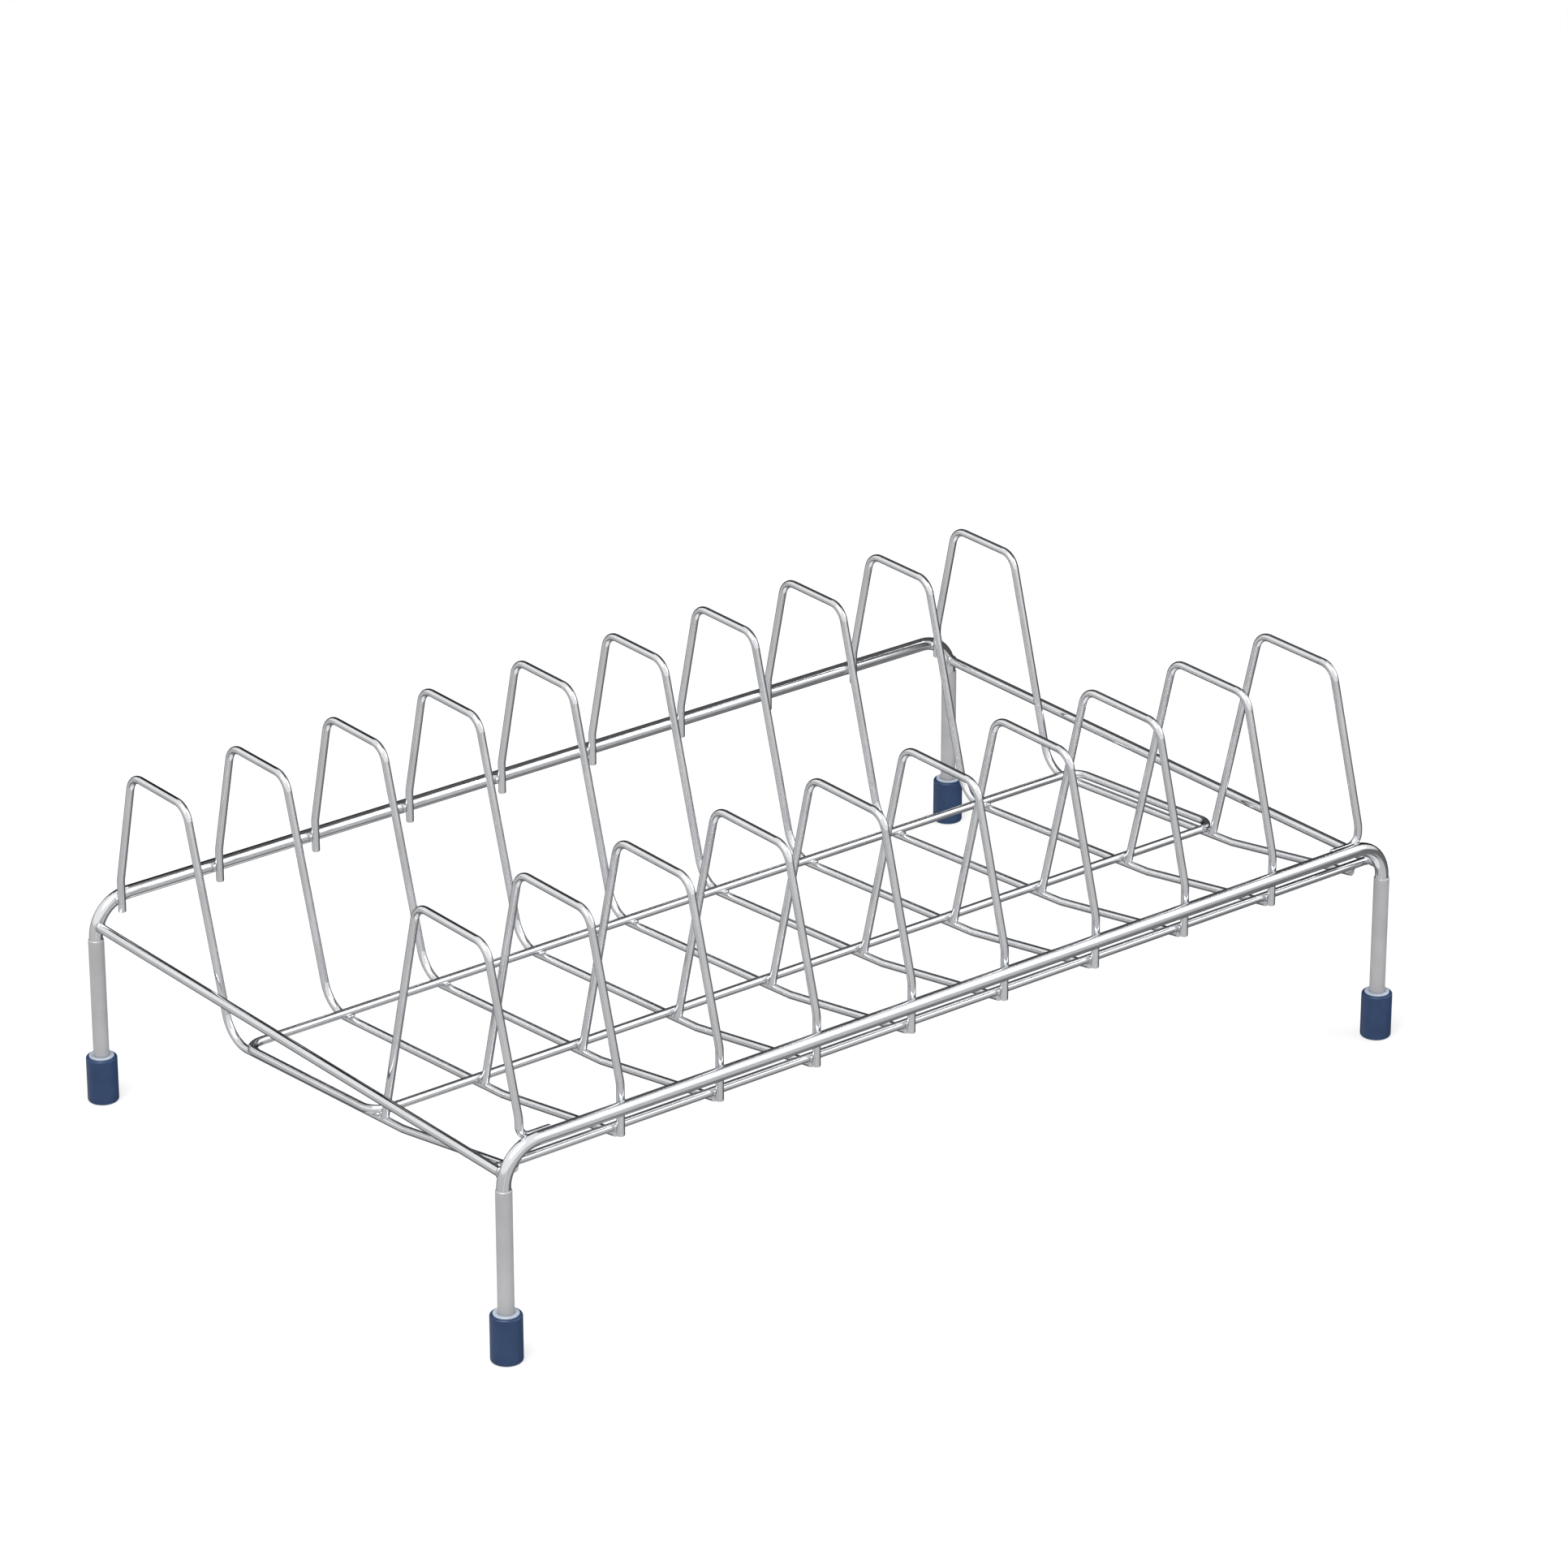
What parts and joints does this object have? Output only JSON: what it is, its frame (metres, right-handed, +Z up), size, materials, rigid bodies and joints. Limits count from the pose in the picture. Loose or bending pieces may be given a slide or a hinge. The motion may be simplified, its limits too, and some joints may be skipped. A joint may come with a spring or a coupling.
{
  "type": "dish rack",
  "caption": "Chromed wire dish rack on four legs with blue plastic feet; paired wire hoops along a shallow tray hold plates on edge.",
  "frame": {"origin": "on the floor under the middle of the rack, between the four feet", "axes": "+X along the rack from the left end to the right end, +Y from the near hoops to the far hoops, +Z up"},
  "size_m": [0.395, 0.25, 0.14],
  "materials": {
    "chrome_rod": "polished",
    "chrome_wire": "polished",
    "satin_leg": "satin",
    "blue_foot": "semi-gloss"
  },
  "bodies": {
    "root": {"near_side_rail": "chrome_rod", "far_side_rail": "chrome_rod", "lower_rail": "chrome_rod", "left_end_bar": "chrome_rod", "right_end_bar": "chrome_rod", "near_left_leg": "satin_leg", "near_left_foot": "blue_foot", "near_right_leg": "satin_leg", "near_right_foot": "blue_foot", "far_left_leg": "satin_leg", "far_left_foot": "blue_foot", "far_right_leg": "satin_leg", "far_right_foot": "blue_foot", "tray_ring": "chrome_wire", "cross_wire_1": "chrome_wire", "near_hoop_1": "chrome_wire", "cross_wire_2": "chrome_wire", "near_hoop_2": "chrome_wire", "cross_wire_3": "chrome_wire", "near_hoop_3": "chrome_wire", "cross_wire_4": "chrome_wire", "near_hoop_4": "chrome_wire", "cross_wire_5": "chrome_wire", "near_hoop_5": "chrome_wire", "cross_wire_6": "chrome_wire", "near_hoop_6": "chrome_wire", "cross_wire_7": "chrome_wire", "near_hoop_7": "chrome_wire", "cross_wire_8": "chrome_wire", "near_hoop_8": "chrome_wire", "cross_wire_9": "chrome_wire", "near_hoop_9": "chrome_wire", "cross_wire_10": "chrome_wire", "near_hoop_10": "chrome_wire"}
  },
  "joints": []
}
